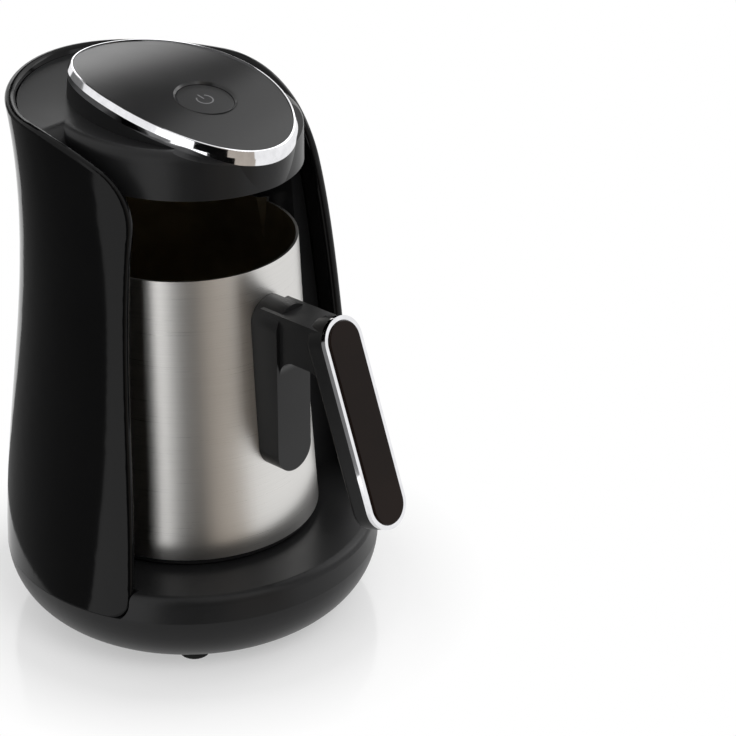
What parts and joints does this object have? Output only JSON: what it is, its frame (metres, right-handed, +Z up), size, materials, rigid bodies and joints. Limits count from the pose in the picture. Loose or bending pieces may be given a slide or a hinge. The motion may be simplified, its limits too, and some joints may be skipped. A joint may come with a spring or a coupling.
{
  "type": "electric turkish coffee maker",
  "caption": "Electric Turkish coffee maker: black column with an overhanging head and power button, and a lift-off steel jug with a handle on a round base.",
  "frame": {"origin": "middle of the bounding box's footprint, on the worktop under the feet", "axes": "+Z up, +X to the machine's right side seen from behind, the jug's handle points along -Y"},
  "size_m": [0.15, 0.1836, 0.2207],
  "materials": {
    "jacket_black": "satin gloss",
    "body_black": "fine satin",
    "plate_black": "satin gloss",
    "button_black": "satin gloss",
    "handle_black": "fine satin",
    "insert_brown": "high gloss",
    "bright_trim": "polished",
    "steel": "brushed round the jug",
    "screw_steel": "zinc plated",
    "spring_steel": "bright",
    "heat_aluminium": "satin",
    "contact_brass": "bright",
    "foot_rubber": "matte",
    "board_green": "satin",
    "component_black": "matte",
    "relay_blue": "satin",
    "coil_yellow": "satin",
    "terminal_grey": "matte",
    "thermostat_cream": "matte",
    "harness_grey": "satin",
    "window_dark": "clear dark",
    "lamp_white": "translucent"
  },
  "bodies": {
    "machine": {"base_pan": "body_black", "base_feet": "foot_rubber", "base_top": "body_black", "base_screws": "screw_steel", "jacket": "jacket_black", "jacket_screws": "screw_steel", "column_liner": "body_black", "column_screws": "screw_steel", "coupler_socket": "body_black", "coupler_contacts": "contact_brass", "coupler_screws": "screw_steel", "mount_screws": "screw_steel", "coupler_seal": "foot_rubber", "power_board": "board_green", "power_board_screws": "screw_steel", "relay": "relay_blue", "transformer": "coil_yellow", "capacitors": "component_black", "terminal_block": "terminal_grey", "cord_gland": "foot_rubber", "harness": "harness_grey", "head_housing": "body_black", "head_underside": "body_black", "head_screws": "screw_steel", "chrome_ring": "bright_trim", "head_plate": "plate_black", "button_bezel": "plate_black", "switch_body": "component_black", "button_spring": "spring_steel", "control_board": "board_green", "board_screws": "screw_steel", "buzzer": "component_black", "indicator_lamps": "lamp_white", "sensor_window": "window_dark", "rise_sensor": "component_black"},
    "jug": {"jug_body": "steel", "jug_floor": "steel", "heat_plate": "heat_aluminium", "heating_element": "spring_steel", "thermostat": "thermostat_cream", "jug_coupler": "component_black", "contact_rings": "contact_brass", "element_leads": "contact_brass", "jug_base_cover": "body_black", "jug_base_screws": "screw_steel", "handle_bracket": "screw_steel", "handle_body": "handle_black", "handle_trim": "bright_trim", "handle_insert": "insert_brown", "handle_screws": "screw_steel"},
    "button": {"power_button": "button_black", "switch_plunger": "component_black"}
  },
  "joints": [
    {"name": "jug_slide", "type": "slide", "parent": "machine", "child": "jug", "axis": [0, -0.9563, 0.2924], "range_m": [0, 0.15]},
    {"name": "button_press", "type": "slide", "parent": "machine", "child": "button", "axis": [0, 0.1976, -0.9803], "range_m": [0, 0.0008], "stiffness_N_per_m": 500, "springref_m": -0.002, "deforming": ["button_spring"]}
  ]
}
